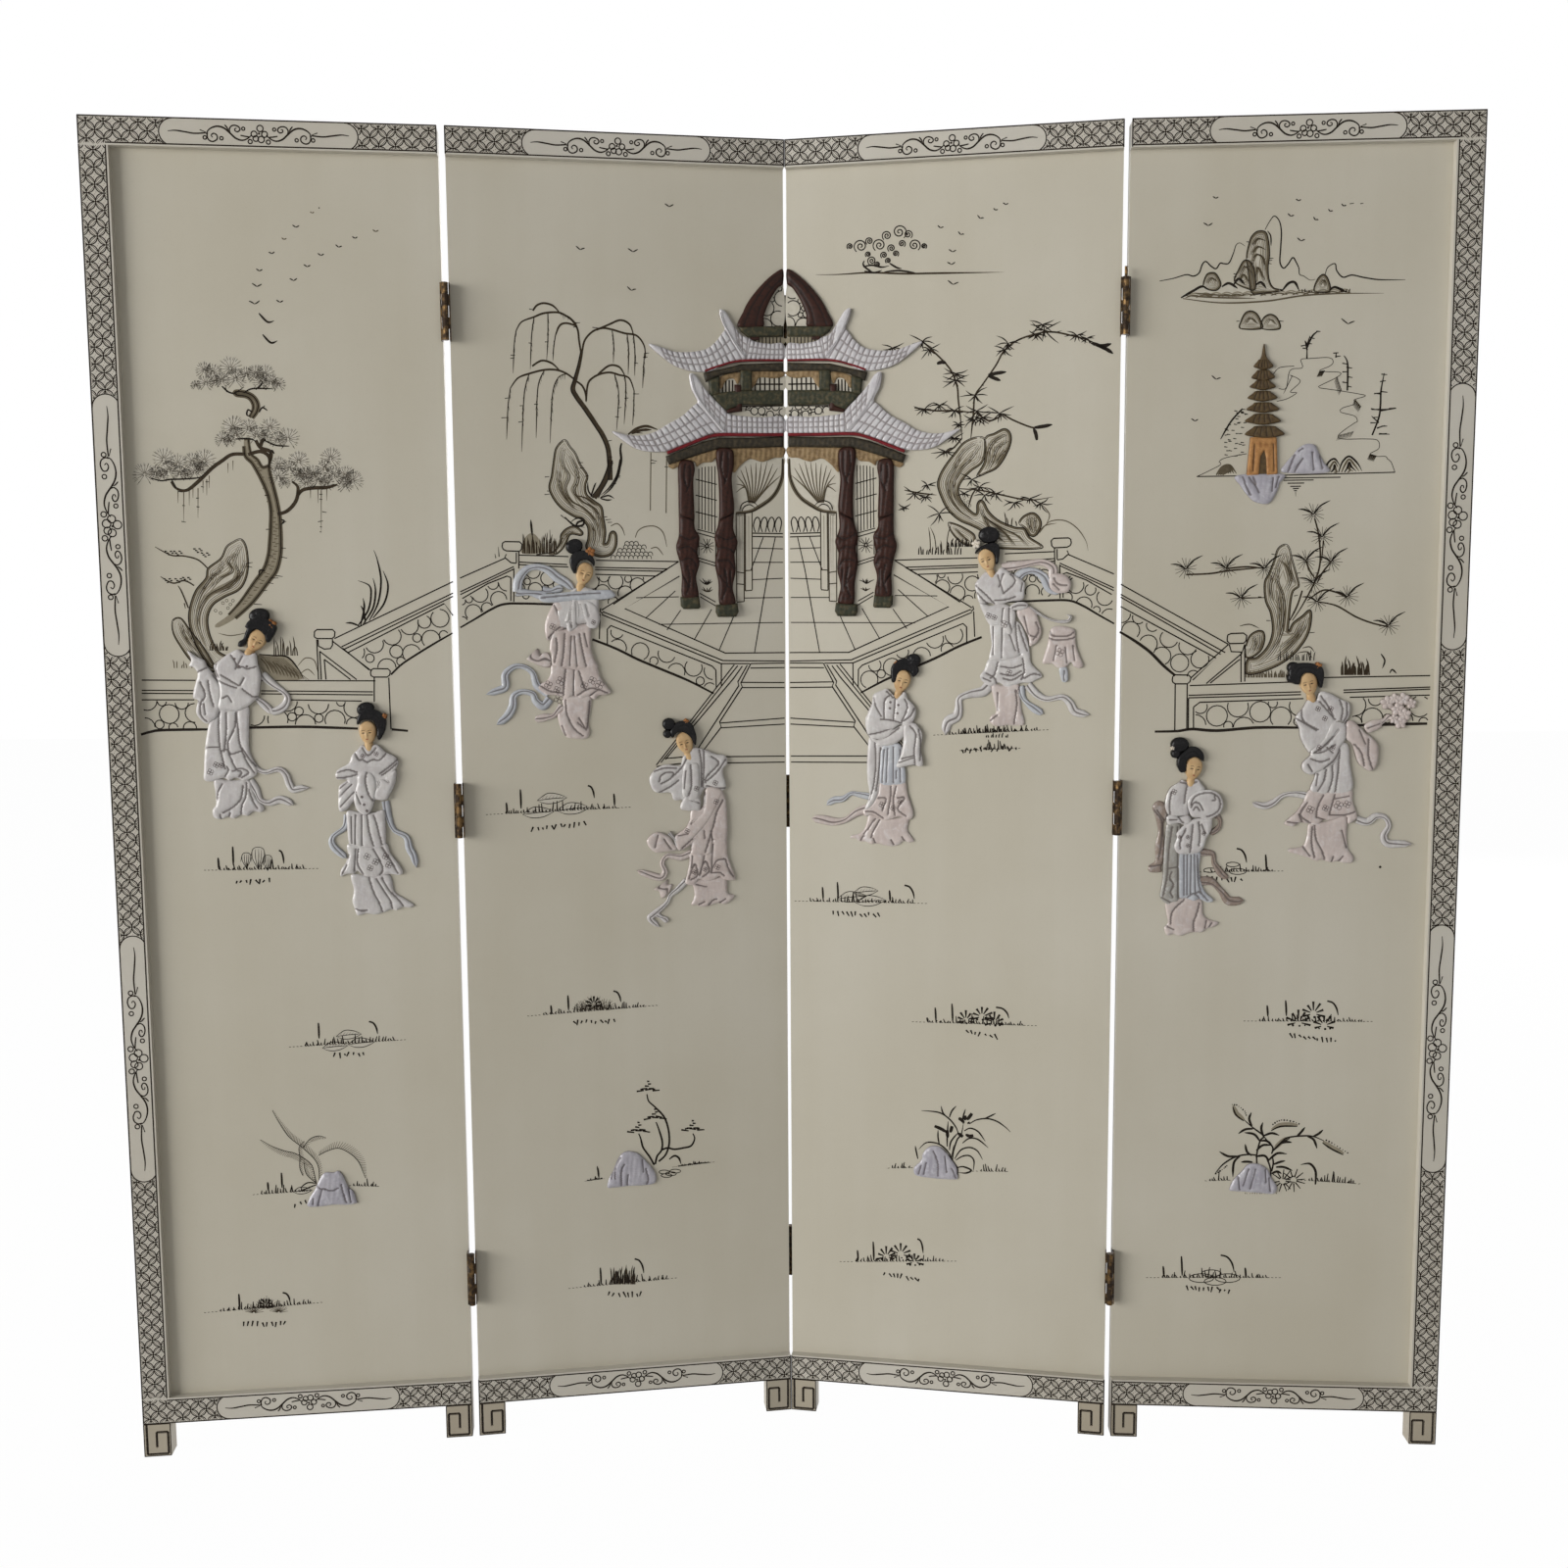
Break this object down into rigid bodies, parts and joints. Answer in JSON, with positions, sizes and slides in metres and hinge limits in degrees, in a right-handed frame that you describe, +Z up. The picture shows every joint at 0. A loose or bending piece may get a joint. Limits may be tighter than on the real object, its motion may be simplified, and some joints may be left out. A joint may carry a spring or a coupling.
{
  "type": "folding screen",
  "caption": "Tall folding screen of hinged lacquered boards with raised lattice borders, block feet and carved ladies, pavilion, pagoda and rocks on the front",
  "frame": {"origin": "on the floor, at the middle of the footprint's bounding box, with the screen standing as in the picture", "axes": "+Z up; the painted fronts face -Y; +X to the viewer's right"},
  "size_m": [1.8362, 0.1674, 1.829],
  "materials": {
    "field_lacquer": "satin ivory lacquer on wood, slightly yellowed, with ink painting",
    "border_lacquer": "satin silver-grey lacquer on wood with a dark brown interlaced lattice",
    "foot_wood": "satin pale lacquer on wood with dark key fret grooves",
    "shell": "polished carved mother-of-pearl and soapstone, lilac white",
    "painted_bone": "carved bone-coloured stone, faces tan and hair painted black",
    "painted_timber": "carved wood painted red-brown, green and cream",
    "hinge_brass": "drawn brass, darkened and rubbed",
    "pin_brass": "drawn brass, darkened",
    "screw_brass": "turned brass, dull"
  },
  "bodies": {
    "panel_1": {"panel_1_board": "field_lacquer", "panel_1_top_border": "border_lacquer", "panel_1_bottom_border": "border_lacquer", "panel_1_side_border": "border_lacquer", "panel_1_left_foot": "foot_wood", "panel_1_right_foot": "foot_wood", "panel_1_screws": "screw_brass", "lady_1_robe": "shell", "lady_1_head": "painted_bone", "lady_2_robe": "shell", "lady_2_head": "painted_bone", "fold_12_left_leaves": "hinge_brass", "fold_12_pins": "pin_brass", "panel_1_rock": "shell"},
    "panel_2": {"panel_2_board": "field_lacquer", "panel_2_top_border": "border_lacquer", "panel_2_bottom_border": "border_lacquer", "panel_2_left_foot": "foot_wood", "panel_2_right_foot": "foot_wood", "panel_2_screws": "screw_brass", "lady_3_robe": "shell", "lady_3_head": "painted_bone", "lady_4_robe": "shell", "lady_4_head": "painted_bone", "fold_12_right_leaves": "hinge_brass", "fold_23_left_leaves": "hinge_brass", "fold_23_pins": "pin_brass", "pavilion_left_roofs": "shell", "pavilion_left_timber": "painted_timber", "panel_2_rock": "shell"},
    "panel_3": {"panel_3_board": "field_lacquer", "panel_3_top_border": "border_lacquer", "panel_3_bottom_border": "border_lacquer", "panel_3_left_foot": "foot_wood", "panel_3_right_foot": "foot_wood", "panel_3_screws": "screw_brass", "lady_5_robe": "shell", "lady_5_head": "painted_bone", "lady_6_robe": "shell", "lady_6_head": "painted_bone", "fold_23_right_leaves": "hinge_brass", "fold_34_left_leaves": "hinge_brass", "fold_34_pins": "pin_brass", "pavilion_right_roofs": "shell", "pavilion_right_timber": "painted_timber", "panel_3_rock": "shell"},
    "panel_4": {"panel_4_board": "field_lacquer", "panel_4_top_border": "border_lacquer", "panel_4_bottom_border": "border_lacquer", "panel_4_side_border": "border_lacquer", "panel_4_left_foot": "foot_wood", "panel_4_right_foot": "foot_wood", "panel_4_screws": "screw_brass", "lady_7_robe": "shell", "lady_7_head": "painted_bone", "lady_8_robe": "shell", "lady_8_head": "painted_bone", "fold_34_right_leaves": "hinge_brass", "pagoda": "painted_timber", "panel_4_rocks": "shell"}
  },
  "joints": [
    {"name": "fold_12", "type": "hinge", "parent": "panel_2", "child": "panel_1", "pos_m": [-0.45626, -0.02665, 0.912], "axis": [0, 0, 1], "range_deg": [0, 182.3]},
    {"name": "fold_23", "type": "hinge", "parent": "panel_2", "child": "panel_3", "pos_m": [-0.00049, 0.07919, 0.912], "axis": [0, 0, 1], "range_deg": [0, 194]},
    {"name": "fold_34", "type": "hinge", "parent": "panel_3", "child": "panel_4", "pos_m": [0.45529, -0.02665, 0.912], "axis": [0, 0, -1], "range_deg": [0, 182]}
  ]
}
